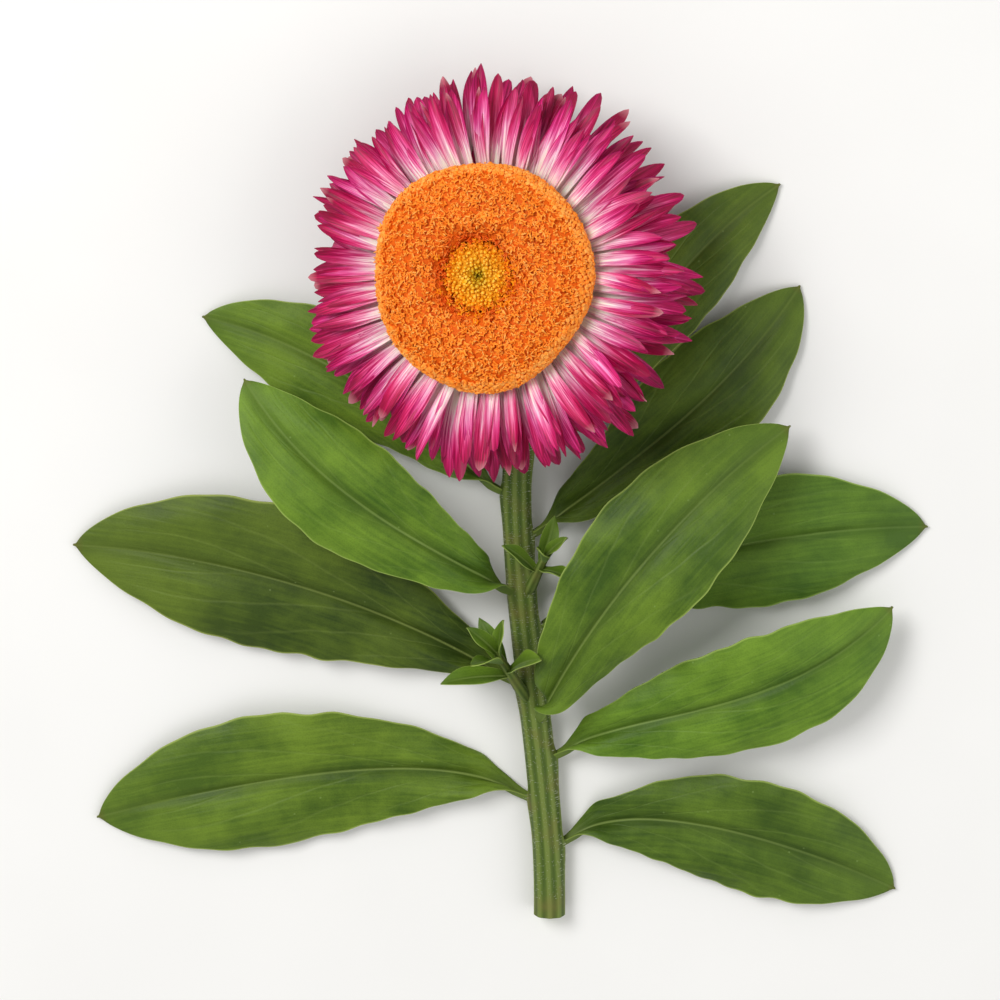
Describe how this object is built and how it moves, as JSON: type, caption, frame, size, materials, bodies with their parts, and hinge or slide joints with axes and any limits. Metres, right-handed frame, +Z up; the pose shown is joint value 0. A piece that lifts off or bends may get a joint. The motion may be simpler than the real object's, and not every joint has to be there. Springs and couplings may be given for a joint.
{
  "type": "cut strawflower",
  "caption": "Single cut strawflower lying down: an open head with an orange disc and papery magenta bracts on a ribbed green stem with lance-shaped leaves.",
  "frame": {"origin": "on the surface that the flower lies on, under the middle of its box", "axes": "+Y along the stem from its cut end to the head, +Z up from the surface"},
  "size_m": [0.1683, 0.1761, 0.0459],
  "materials": {
    "stem": "green, ribbed and faintly downy",
    "leaf": "matt to satin green blade with a paler underside",
    "shoot": "light yellow-green young leaves",
    "inner_bract": "dry papery bracts with a silky sheen, white to pink to magenta",
    "outer_bract": "dry papery bracts with a silky sheen, deep magenta",
    "floret": "dense matt orange florets",
    "young_floret": "dense matt yellow-green young florets"
  },
  "bodies": {
    "root": {"stem": "stem", "leaf_01": "leaf", "leaf_02": "leaf", "leaf_03": "leaf", "leaf_04": "leaf", "leaf_05": "leaf", "leaf_06": "leaf", "leaf_07": "leaf", "leaf_08": "leaf", "leaf_09": "leaf", "leaf_10": "leaf", "leaf_11": "leaf", "leaf_12": "leaf", "side_shoot_1": "shoot", "side_shoot_2": "shoot", "inner_bracts": "inner_bract", "outer_bracts": "outer_bract", "disc_florets": "floret", "young_florets": "young_floret"}
  },
  "joints": []
}
